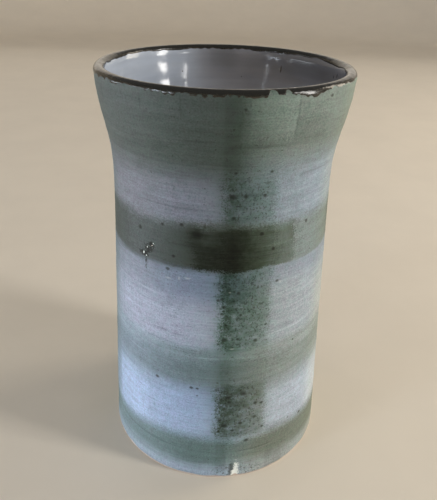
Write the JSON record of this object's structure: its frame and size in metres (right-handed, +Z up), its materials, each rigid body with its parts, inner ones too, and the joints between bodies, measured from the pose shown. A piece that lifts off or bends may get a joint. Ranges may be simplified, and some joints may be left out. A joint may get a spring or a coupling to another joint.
{
  "type": "vase",
  "caption": "Thrown stoneware vase with a gently tapering wall, flared neck, glossy inside, dark glazed lip and brushed green-grey bands crossed by upright stripes over pale blue matt glaze.",
  "frame": {"origin": "centre of the foot, on the surface the vase stands on", "axes": "+Z up along the axis of the vase, from foot to lip; -Y is the front, where the first upright stripe faces"},
  "size_m": [0.1348, 0.1348, 0.2299],
  "materials": {
    "stoneware_clay": "unglazed, fine-grained, matt",
    "liner_gloss": "smooth glossy glaze",
    "matt_blue": "dry matt glaze with fine brushed lines and specks",
    "dark_rim": "glossy iron glaze, worn at the edge",
    "oxide_wash": "matt brushed oxide, soft edges",
    "oxide_stripe": "matt brushed oxide with dense dark specks",
    "oxide_dark": "matt brushed oxide, two coats"
  },
  "bodies": {
    "root": {"clay_body": "stoneware_clay", "liner_glaze": "liner_gloss", "matt_coat": "matt_blue", "rim_glaze": "dark_rim", "shoulder_band": "oxide_wash", "middle_band": "oxide_wash", "lower_band": "oxide_wash", "foot_band": "oxide_wash", "upright_stripes": "oxide_stripe", "overlap_strokes": "oxide_dark"}
  },
  "joints": []
}
